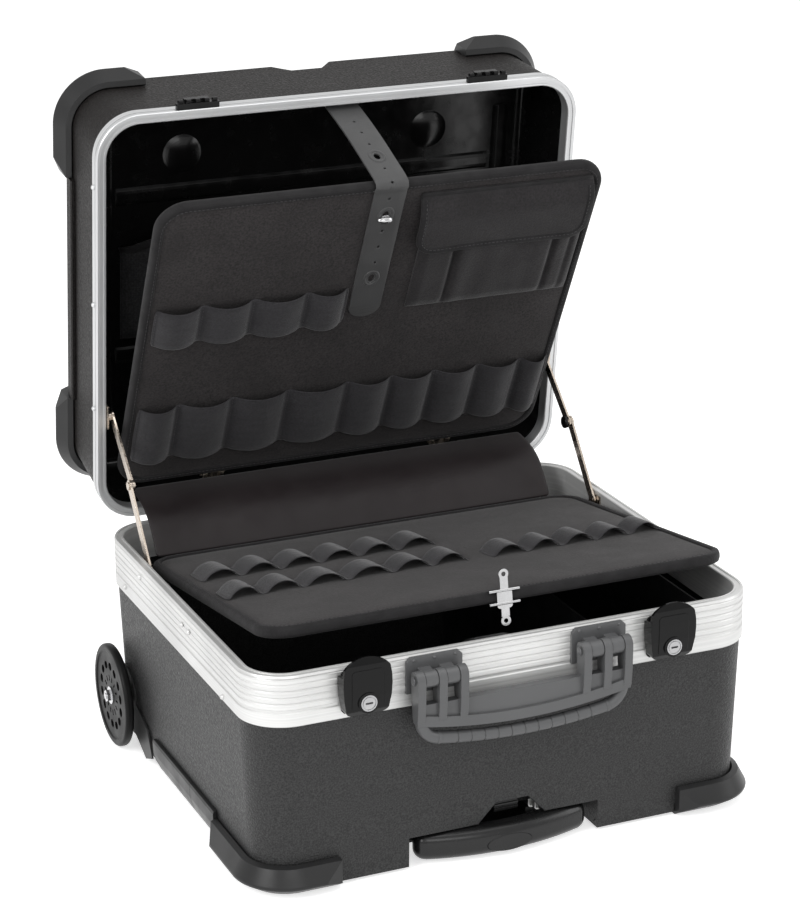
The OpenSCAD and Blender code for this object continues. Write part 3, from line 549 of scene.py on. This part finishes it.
def soft_wave(amount, scale):
    """Moves a point out of the board's face by gentle unevenness."""
    def moved(p):
        x, y, z = p
        return (x, y, z + amount * noise.noise(Vector((x, y, 0)) / scale))
    return moved


BINDING_W = 8.0


def pallet(name, place, width, length, body, node):
    """Board with a slightly crowned face, a bound edge and a stitch line."""
    face = [(3, -1.4), (BINDING_W - 1, -1.2), (BINDING_W + 2, -0.5), (16, 0.15), (26, 0.5), (44, 0.7),
            (70, 0.75), (100, 0.8), (130, 0.8), (length / 2 - 8, 0.8)]
    back = [(inset, -BOARD_T - height) for inset, height in reversed(face)]
    rings = outline_rings(width, length, PALLET_R, back + face)
    panel = lofted(name + "_panel", rings, place, cap_first=True, cap_last=True, ruffle=soft_wave(0.35, 45))
    finish_piece(panel, CLOTH, body, [node])
    half = BOARD_T / 2
    tape = [(BINDING_W, -0.3), (BINDING_W - 1, 0.55), (3, 0.75), (0.9, -0.3), (0.1, -2.8), (0.0, -half),
            (0.1, -BOARD_T + 2.8), (0.9, -BOARD_T + 0.3), (3, -BOARD_T - 0.75),
            (BINDING_W - 1, -BOARD_T - 0.55), (BINDING_W, -BOARD_T + 0.3)]
    edge = lofted(name + "_binding", outline_rings(width, length, PALLET_R, tape), place, loop=True)
    finish_piece(edge, BINDING, body)
    line = outline_rings(width, length, PALLET_R, [(BINDING_W - 2.4, 0.75)])[0]
    seam = stitches(name + "_stitches", line + line[:1], place)
    finish_piece(seam, THREAD, body)
    return panel


pallet("upper_pallet", UPPER_FRAME, PALLET_W, UPPER_LEN, "upper_pallet", "upper_pallet_board")
LOWER_BOARD = LOWER_FRAME @ Matrix.Translation((LOWER_SHIFT, 0, 0))
pallet("lower_pallet", LOWER_BOARD, LOWER_W, LOWER_LEN, "lower_pallet", "lower_pallet_board")


# ---------- elastic loops ----------

FOOT = 3.0             # sewn-down length on each side of a tack
TAPE_T = 1.5
TAPE_Z = 0.9           # middle of the sewn-down tape over the face
TACK_IN = 1.2          # the outermost tacks stand this far in from the tape's ends
TACK_Z = 1.75
LOOP_RISE = 11


def loop_row(name, edges, low, high, rise, place, body, node):
    """One elastic tape sewn down between its loops, which stand open."""
    route = [Vector((edges[0] - 1, 0, TAPE_Z)), Vector((edges[0] + FOOT, 0, TAPE_Z))]
    for left, right in zip(edges[:-1], edges[1:]):
        a, b = left + FOOT, right - FOOT
        for k in range(1, 16):
            t = k / 16
            bulge = math.sin(math.pi * t) ** 0.72
            route.append(Vector((a + (b - a) * t, 0, TAPE_Z + (rise - 1.9) * bulge)))
        route += [Vector((b, 0, TAPE_Z)), Vector((right + (FOOT if right != edges[-1] else 1), 0, TAPE_Z))]
    middle = (low + high) / 2
    tape = band(name, [p + Vector((0, middle, 0)) for p in route], (high - low) / 2, TAPE_T, place,
                across=Vector((0, 1, 0)))
    add_modifier(tape, "SUBSURF", "smooth", levels=1, render_levels=1)
    applied(tape)
    finish_piece(tape, ELASTIC, body, [node])
    for i, x in enumerate(edges):
        at_x = min(max(x, edges[0] + TACK_IN), edges[-1] - TACK_IN)
        seam = stitches(f"{name}_tack_{i + 1}", [(at_x, low + 1.5, TACK_Z), (at_x, high - 1.5, TACK_Z)],
                        place, pitch=3.2, length=2.2)
        finish_piece(seam, THREAD, body)


HIGH_EDGES = [-216, -168, -117, -62, -20]
LOW_EDGES = [-218, -176, -120, -61, 2, 50, 96, 145, 192, 224]
loop_row("high_loops", HIGH_EDGES, 191.4, 237.4, LOOP_RISE, UPPER_FRAME, "upper_pallet", "upper_loops_high")
loop_row("low_loops", LOW_EDGES, 35.4, 107.4, LOOP_RISE, UPPER_FRAME, "upper_pallet", "upper_loops_low")
LOWER_ROWS = {
    "front_left_loops": ([-216, -180, -140, -96, -51, -11, 26], 125.5, 161.5),
    "front_right_loops": ([48, 86, 122, 158, 194, 228], 121.5, 157.5),
    "rear_loops": ([-212, -172, -132, -92, -52, -12, 28], 205.5, 245.5),
}
for row_name, (edges, low, high) in LOWER_ROWS.items():
    loop_row(row_name, edges, low, high, LOOP_RISE, LOWER_FRAME, "lower_pallet", "lower_loops")


# ---------- tool pocket and flap ----------

POCKET_X = (44, 218)
POCKET_S = (202, 316)
FLAP_X = (34, 216)
FLAP_S = (281, 346)
FLAP_CORNER = 20
FOLDS = ((80, 6.2), (186, 5.6), (205, 3.0))     # (place across, depth)


def pocket_front(u, v):
    """Pocket body: sewn flat at its sides and foot, full at its mouth, with deep folds near the sides."""
    x = POCKET_X[0] + (POCKET_X[1] - POCKET_X[0]) * u
    s = POCKET_S[0] + (POCKET_S[1] - POCKET_S[0]) * v
    side = min(1.0, min(u, 1 - u) / 0.05)
    foot = min(1.0, v / 0.1)
    wander = 1.6 * math.sin(2.2 * v + 0.6)
    crease = sum(deep * math.exp(-((x - at - wander) / 3.4) ** 2) for at, deep in FOLDS)
    crown = (1.6 * math.exp(-((x - FOLDS[0][0] - 11) / 9) ** 2)
             + 0.9 * math.exp(-((x - FOLDS[1][0] + 12) / 9) ** 2))
    lines = 1.1 * noise.noise(Vector((x / 22, s / 55, 3)))
    full = 5.4 + 3.4 * v - crease * (0.55 + 0.45 * v) + crown + lines
    return (x, s, 0.9 + (side ** 0.5) * (foot ** 0.5) * full)


pocket = grid_sheet("pocket_body", 110, 40, pocket_front, UPPER_FRAME, 1.0)
finish_piece(pocket, POCKET, "upper_pallet", ["tool_pocket"])


def flap_half_width(s):
    """Half width of the flap, narrowing round its lower corners."""
    radius = FLAP_CORNER
    t = s - FLAP_S[0]
    half = (FLAP_X[1] - FLAP_X[0]) / 2
    if t >= radius:
        return half
    return half - radius + math.sqrt(max(0.0, radius ** 2 - (radius - t) ** 2))


def flap_height(x, s):
    t = (s - FLAP_S[0]) / (FLAP_S[1] - FLAP_S[0])
    rise = 10.4 * math.sin(math.pi / 2 * min(1.0, (1 - t) / 0.42)) + 1.4
    dip = -1.0 * math.cos(math.pi * (x - sum(FLAP_X) / 2) / 91)
    return rise + dip * (1 - t) * 0.8 + 0.5 * noise.noise(Vector((x / 40, s / 40, 7))) * min(1.0, (1 - t) * 3)


def flap_point(u, v):
    s = FLAP_S[0] + 0.2 + (FLAP_S[1] - FLAP_S[0] - 0.2) * v
    x = sum(FLAP_X) / 2 + flap_half_width(s) * (2 * u - 1)
    return (x, s, flap_height(x, s))


flap = grid_sheet("flap_panel", 56, 34, flap_point, UPPER_FRAME, 1.4)
finish_piece(flap, POCKET, "upper_pallet", ["pocket_flap"])


def flap_edge(inset):
    """Route along the flap's three free edges, moved in by inset."""
    centre, half = sum(FLAP_X) / 2, (FLAP_X[1] - FLAP_X[0]) / 2 - inset
    radius, low = FLAP_CORNER - inset, FLAP_S[0] + inset
    route = [(centre - half, s) for s in range(int(FLAP_S[1]) - 2, int(low + radius), -5)]
    route += [(centre - half + radius - radius * math.cos(math.radians(a)),
               low + radius - radius * math.sin(math.radians(a))) for a in range(0, 91, 10)]
    route += [(x, low) for x in range(int(centre - half + radius) + 4, int(centre + half - radius), 6)]
    route += [(centre + half - radius + radius * math.sin(math.radians(a)),
               low + radius - radius * math.cos(math.radians(a))) for a in range(0, 91, 10)]
    route += [(centre + half, s) for s in range(int(low + radius) + 4, int(FLAP_S[1]) - 1, 5)]
    return [(x, s, flap_height(x, s)) for x, s in route]


def flat_tape(name, route, half_width, thickness, place):
    """Tape lying on the board's face: its width turns with the route in the face."""
    points, faces = [], []
    for i, p in enumerate(route):
        a, b = Vector(route[max(i - 1, 0)]), Vector(route[min(i + 1, len(route) - 1)])
        ahead = (b - a).normalized()
        side = Vector((ahead.y, -ahead.x, 0)).normalized()
        for offset, height in ((-1, -0.5), (-1, 0.3), (-0.75, 0.5), (0.75, 0.5), (1, 0.3), (1, -0.5)):
            q = Vector(p) + side * half_width * offset
            points.append((q.x, q.y, q.z + height * thickness))
    n = 6
    for i in range(len(route) - 1):
        for k in range(n):
            a, b = i * n + k, i * n + (k + 1) % n
            faces.append((a, b, b + n, a + n))
    faces.append(tuple(range(n)))
    faces.append(tuple(reversed(range((len(route) - 1) * n, len(route) * n))))
    return add_mesh(name, points, faces, place)


binding = flat_tape("flap_binding", flap_edge(3.2), 3.6, 3.0, UPPER_FRAME)
finish_piece(binding, BINDING, "upper_pallet")
seam = stitches("flap_stitches", [(x, s, z + 1.6) for x, s, z in flap_edge(4.6)], UPPER_FRAME)
finish_piece(seam, THREAD, "upper_pallet")
head = flat_tape("flap_head_tape", [(x, FLAP_S[1] - 1, 2.0) for x in range(FLAP_X[0], FLAP_X[1] + 1, 6)],
                 4.0, 2.0, UPPER_FRAME)
finish_piece(head, BINDING, "upper_pallet")


# ---------- document pocket in the lid ----------

DOC_X = (-196, -62)
DOC_Y = (-60, 52)


def document_front(u, v):
    """Flat pocket on the lid's panel, open along its bowed upper edge."""
    x = DOC_X[0] + (DOC_X[1] - DOC_X[0]) * u
    top = DOC_Y[1] - 14 * (2 * u - 1) ** 2
    y = DOC_Y[0] + (top - DOC_Y[0]) * v
    side = min(1.0, min(u, 1 - u) / 0.09) ** 0.6 * min(1.0, v / 0.1) ** 0.6
    sag = 0.7 * noise.noise(Vector((x / 30, y / 30, 1)))
    return (x, y, 1.0 + side * (9.2 + 1.2 * v * math.sin(math.pi * u) + sag))


document = grid_sheet("document_front", 40, 30, document_front, PANEL_FRAME, 1.0)
finish_piece(document, NET, "lid", ["document_pocket"])
hem = flat_tape("document_hem", [tuple(Vector(document_front(k / 30, 1)) - Vector((0, 3, 0)))
                                 for k in range(31)], 4.2, 2.4, PANEL_FRAME)
finish_piece(hem, BINDING, "lid")


# ---------- straps ----------

def holed_strap(name, length, holes, round_start=True):
    """Flat strap cut from sheet with holes [(distance, half length, half width)], lying along y."""
    curve = bpy.data.curves.new(name, "CURVE")
    curve.dimensions = "2D"
    curve.fill_mode = "BOTH"
    curve.extrude = (STRAP_T / 2 - 0.3) * MM
    curve.bevel_depth = 0.3 * MM
    curve.bevel_resolution = 1

    def loop(points):
        spline = curve.splines.new("POLY")
        spline.points.add(len(points) - 1)
        for point, (x, y) in zip(spline.points, points):
            point.co = (x * MM, y * MM, 0, 1)
        spline.use_cyclic_u = True

    half = STRAP_W / 2 - 0.3
    start = [(half * math.cos(a), half * 0.8 * (1 - math.sin(-a)))
             for a in (math.radians(180 + k * 12) for k in range(16))]
    outline = start if round_start else [(-half, 0), (half, 0)]
    loop(outline + [(half, length), (-half, length)])
    for distance, along, wide in holes:
        loop([(wide * math.cos(a), distance + along * math.sin(a))
              for a in (2 * math.pi * k / 20 for k in range(20))])
    holder = bpy.data.objects.new(name, curve)
    bpy.context.scene.collection.objects.link(holder)
    graph = bpy.context.evaluated_depsgraph_get()
    mesh = bpy.data.meshes.new_from_object(holder.evaluated_get(graph))
    bpy.data.objects.remove(holder)
    bpy.data.curves.remove(curve)
    bm = bmesh.new()
    bm.from_mesh(mesh)
    bmesh.ops.remove_doubles(bm, verts=bm.verts, dist=1e-5)
    step = 5.0
    for k in range(1, int(length / step) + 1):
        bmesh.ops.bisect_plane(bm, geom=bm.verts[:] + bm.edges[:] + bm.faces[:],
                               plane_co=(0, k * step * MM, 0), plane_no=(0, 1, 0))
    bmesh.ops.recalc_face_normals(bm, faces=bm.faces)
    bm.to_mesh(mesh)
    bm.free()
    obj = bpy.data.objects.new(name, mesh)
    bpy.context.scene.collection.objects.link(obj)
    return obj


def smooth_route(points, per_span=8):
    """Catmull-Rom curve through side-view points."""
    ends = [points[0] * 2 - points[1]] + points + [points[-1] * 2 - points[-2]]
    made = []
    for i in range(1, len(ends) - 2):
        p0, p1, p2, p3 = ends[i - 1:i + 3]
        for k in range(per_span):
            t = k / per_span
            made.append(0.5 * ((2 * p1) + (p2 - p0) * t + (2 * p0 - 5 * p1 + 4 * p2 - p3) * t ** 2
                               + (3 * p1 - p0 - 3 * p2 + p3) * t ** 3))
    return made + [points[-1]]


def route_lengths(route):
    """Distance along the route at each of its points."""
    lengths = [0.0]
    for a, b in zip(route[:-1], route[1:]):
        lengths.append(lengths[-1] + (b - a).length)
    return lengths


def laid_along(obj, route):
    """Bends a strap lying along y onto a route of side-view points (x = 0), in the case's millimetres."""
    lengths = route_lengths(route)
    for vertex in obj.data.vertices:
        x, y, z = (c / MM for c in vertex.co)
        i = 0
        while i < len(route) - 2 and lengths[i + 1] < y:
            i += 1
        span = lengths[i + 1] - lengths[i]
        t = (y - lengths[i]) / span
        before = (route[i + 1] - route[max(i - 1, 0)]).normalized()
        after = (route[min(i + 2, len(route) - 1)] - route[i]).normalized()
        ahead = before.lerp(after, min(1.0, max(0.0, t))).normalized()
        up = Vector((1, 0, 0)).cross(ahead)
        p = route[i] + (route[i + 1] - route[i]) * t + up * z
        vertex.co = Vector((x + p.x, p.y, p.z)) * MM
    obj.data.update()
    obj.data.shade_smooth()
    return obj


STRAP_START = 198
STRAP_LIFT = 1.9       # the strap's middle over the face
STRAP_SAG = 3          # bow of its free end


def on_upper(s, h):
    """Side-view point over the upper pallet: s up the board, h out of its face."""
    return UPPER_FRAME @ Vector((0, s, h))


TOP_TURN = on_upper(UPPER_LEN + 3.4, 0.6)
ANCHOR = LID @ Vector((0, -198.6, 235.4))
free = ANCHOR - TOP_TURN
sag_side = Vector((0, free.z, -free.y)).normalized()
control = [on_upper(s, STRAP_LIFT) for s in (STRAP_START, 235, 272, 309, 340, 356)]
control += [TOP_TURN]
control += [TOP_TURN + free * t - sag_side * STRAP_SAG * math.sin(math.pi * t) for t in (0.25, 0.5, 0.75)]
control += [ANCHOR]
upper_route = smooth_route(control, 10)
strap_length = route_lengths(upper_route)[-1] - 0.5
EYELETS = [50, 130, 210]
HOLE_PITCH = 20
small = [at + k * HOLE_PITCH for at in EYELETS for k in (1, 2, 3)
         if at + k * HOLE_PITCH < strap_length - 12]
holes = [(at, 5.0, 3.6) for at in EYELETS if at < strap_length - 15] + [(at, 1.7, 1.7) for at in small]
strap = laid_along(holed_strap("lid_strap_band", strap_length, holes), upper_route)
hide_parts("pallet_strap", "lid_strap")
strap.data.materials.append(STRAP)
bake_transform(strap)


def eyelet_ring(name, at, route, blended, half=(8.5, 7.0), tube=1.3):
    """Moulded oval ring round an eyelet, laid on the strap like the strap itself."""
    rings, count = [], 28
    for k in range(8):
        w = 2 * math.pi * k / 8
        off, up = tube * 1.2 * math.cos(w), tube * 0.5 * math.sin(w) + STRAP_T / 2
        rings.append([((half[1] + off) * math.cos(2 * math.pi * j / count),
                       at + (half[0] + off) * math.sin(2 * math.pi * j / count), up) for j in range(count)])
    ring = lofted(name, rings, None, loop=True)
    laid_along(ring, route)
    ring.data.shade_smooth()
    ring.data.materials.append(STRAP)
    if blended:
        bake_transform(ring)
    return ring


for i, at in enumerate(EYELETS):
    if at < strap_length - 15:
        eyelet_ring(f"lid_strap_eyelet_{i + 1}", at, upper_route, True)

BASE_ROUTE = [(-200, 172), (-199.4, 196), (-193, 199), (-178, 197), (-150, 190), (-128, 176), (-118, 158),
              (-114, 138)]
base_route = smooth_route([Vector((0, y, z)) for y, z in BASE_ROUTE], 6)
base_length = route_lengths(base_route)[-1] - 0.5
BASE_EYELET = 52
base_holes = [(BASE_EYELET, 5.0, 3.6), (74, 1.7, 1.7), (94, 1.7, 1.7)]
base_strap = laid_along(holed_strap("base_strap_band", base_length, base_holes, round_start=False), base_route)
finish_piece(base_strap, STRAP, "base", ["base_strap"])
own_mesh(base_strap)
base_ring = eyelet_ring("base_strap_eyelet", BASE_EYELET, base_route, False)
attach(base_ring, "base")
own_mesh(base_ring)


# ---------- knob over the right knee rivet ----------

KNEE = (156.0, 271.5)


def turned_knob(name, x, place_yz, profile, count=32):
    """Round knob turned about the X axis: the profile is (distance towards the middle, radius)."""
    rings = []
    for out, radius in profile:
        rings.append([(x - out, place_yz[0] + radius * math.cos(2 * math.pi * k / count),
                       place_yz[1] + radius * math.sin(2 * math.pi * k / count)) for k in range(count)])
    return lofted(name, rings, None, cap_first=True, cap_last=True)


KNOB_X = 232.7
KNOB_PROFILE = [(0, 5.4), (0.3, 6.2), (2.0, 6.5), (3.0, 6.1), (3.5, 5.0), (3.6, 3.0)]
knob = turned_knob("stay_knob", KNOB_X, KNEE, KNOB_PROFILE)
finish_piece(knob, LATCH, "stay_upper_right")


# ---------- link sheet between the pallets ----------

LINK_HALF = 214.0
LINK_LOW = Vector((0, 153.6, 194.6))
LINK_HIGH = Vector((0, 229.5, 241.0))


def link_point(u, v):
    """Bows up between the two pallets, with long soft ripples."""
    chord = LINK_HIGH - LINK_LOW
    out = Vector((0, -chord.z, chord.y)).normalized()
    x = LINK_HALF * (2 * u - 1)
    bow = 14 * math.sin(math.pi * v)
    ripple = 1.1 * math.sin(math.pi * v) * noise.noise(Vector((x / 70, v * 1.6, 5)))
    p = LINK_LOW + chord * v + out * (bow + ripple)
    return (x, p.y, p.z)


link = grid_sheet("link_sheet_cloth", 60, 22, link_point, None, 1.6)
link.data.materials.append(LINK)
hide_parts("link_sheet")
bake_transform(link)


# ---------- stage, light and camera ----------

def floor_material(name, colour, glow):
    """Pale matte floor that glows a little to camera and reflections only, so its far part reads as white."""
    material = bpy.data.materials.new(name)
    material.use_nodes = True
    tree = material.node_tree
    tree.nodes.clear()
    out = tree.nodes.new("ShaderNodeOutputMaterial")
    matte = tree.nodes.new("ShaderNodeBsdfDiffuse")
    matte.inputs["Color"].default_value = (*colour, 1)
    glowing = tree.nodes.new("ShaderNodeEmission")
    glowing.inputs["Color"].default_value = (1, 1, 1, 1)
    path = tree.nodes.new("ShaderNodeLightPath")
    strength = tree.nodes.new("ShaderNodeMath")
    strength.operation = "MULTIPLY"
    strength.inputs[1].default_value = glow
    tree.links.new(seen_directly(tree, path), strength.inputs[0])
    tree.links.new(strength.outputs[0], glowing.inputs["Strength"])
    both = tree.nodes.new("ShaderNodeAddShader")
    tree.links.new(matte.outputs[0], both.inputs[0])
    tree.links.new(glowing.outputs[0], both.inputs[1])
    tree.links.new(both.outputs[0], out.inputs["Surface"])
    return material


def seen_directly(tree, path):
    """1 for camera, glossy and transmission rays, else 0."""
    value = path.outputs["Is Camera Ray"]
    for ray in ("Is Glossy Ray", "Is Transmission Ray"):
        larger = tree.nodes.new("ShaderNodeMath")
        larger.operation = "MAXIMUM"
        tree.links.new(value, larger.inputs[0])
        tree.links.new(path.outputs[ray], larger.inputs[1])
        value = larger.outputs[0]
    return value


floor_mesh = bpy.data.meshes.new("floor")
FLOOR_HALF = 6.0
floor_mesh.from_pydata([(-FLOOR_HALF, -FLOOR_HALF, 0), (FLOOR_HALF, -FLOOR_HALF, 0),
                        (FLOOR_HALF, FLOOR_HALF, 0), (-FLOOR_HALF, FLOOR_HALF, 0)], [], [(0, 1, 2, 3)])
floor = bpy.data.objects.new("floor", floor_mesh)
bpy.context.scene.collection.objects.link(floor)
FLOOR_GLOW = 0.62
FLOOR_DROP = 0.0005    # keeps the floor clear of the case's underside
floor_mesh.materials.append(floor_material("floor_pale", (0.9, 0.9, 0.9), FLOOR_GLOW))
floor.location.z = -FLOOR_DROP

SKY_LIGHT = 0.55
world = bpy.data.worlds.new("studio")
bpy.context.scene.world = world
world.use_nodes = True
tree = world.node_tree
tree.nodes.clear()
output = tree.nodes.new("ShaderNodeOutputWorld")
seen = tree.nodes.new("ShaderNodeBackground")
seen.inputs["Color"].default_value = (1, 1, 1, 1)
lit = tree.nodes.new("ShaderNodeBackground")
lit.inputs["Color"].default_value = (1, 1, 1, 1)
lit.inputs["Strength"].default_value = SKY_LIGHT
path = tree.nodes.new("ShaderNodeLightPath")
mix = tree.nodes.new("ShaderNodeMixShader")
tree.links.new(seen_directly(tree, path), mix.inputs[0])
tree.links.new(lit.outputs[0], mix.inputs[1])
tree.links.new(seen.outputs[0], mix.inputs[2])
tree.links.new(mix.outputs[0], output.inputs["Surface"])


def softbox(name, place, target, size, watts):
    """Rectangular soft lamp aimed at a point, in metres."""
    light = bpy.data.lights.new(name, "AREA")
    light.shape = "RECTANGLE"
    light.size, light.size_y = size
    light.energy = watts
    obj = bpy.data.objects.new(name, light)
    bpy.context.scene.collection.objects.link(obj)
    obj.location = place
    obj.rotation_euler = (Vector(target) - Vector(place)).to_track_quat("-Z", "Y").to_euler()


LAMPS = (              # name, place, target, size, watts
    ("key_left", (-2.5, -1.1, 1.9), (0, 0, 0.2), (1.4, 1.4), 48),
    ("front", (-0.4, -2.8, 1.5), (0, 0, 0.25), (1.6, 1.0), 14),
    ("top", (0.2, -0.6, 2.6), (0, 0, 0.2), (2.0, 1.6), 17),
    ("fill_right", (2.2, -1.2, 1.3), (0, 0, 0.3), (1.2, 1.6), 14),
)
for lamp in LAMPS:
    softbox(*lamp)

CAMERA_PLACE = Vector((-0.9848, -2.2467, 1.1623))
CAMERA_TARGET = Vector((-0.0157, 0.01108, 0.31009))
CAMERA_ROLL = -0.48
CAMERA_LENS = 107.36
SENSOR = 36
camera_data = bpy.data.cameras.new("camera")
camera = bpy.data.objects.new("camera", camera_data)
bpy.context.scene.collection.objects.link(camera)
camera_data.sensor_fit = "VERTICAL"
camera_data.sensor_height = SENSOR
camera_data.sensor_width = SENSOR
camera_data.lens = CAMERA_LENS
camera.location = CAMERA_PLACE
camera.rotation_mode = "QUATERNION"
aim = (CAMERA_TARGET - CAMERA_PLACE).to_track_quat("-Z", "Y")
camera.rotation_quaternion = aim @ Matrix.Rotation(math.radians(CAMERA_ROLL), 4, "Z").to_quaternion()
bpy.context.scene.camera = camera
bpy.context.scene.view_settings.view_transform = "Standard"
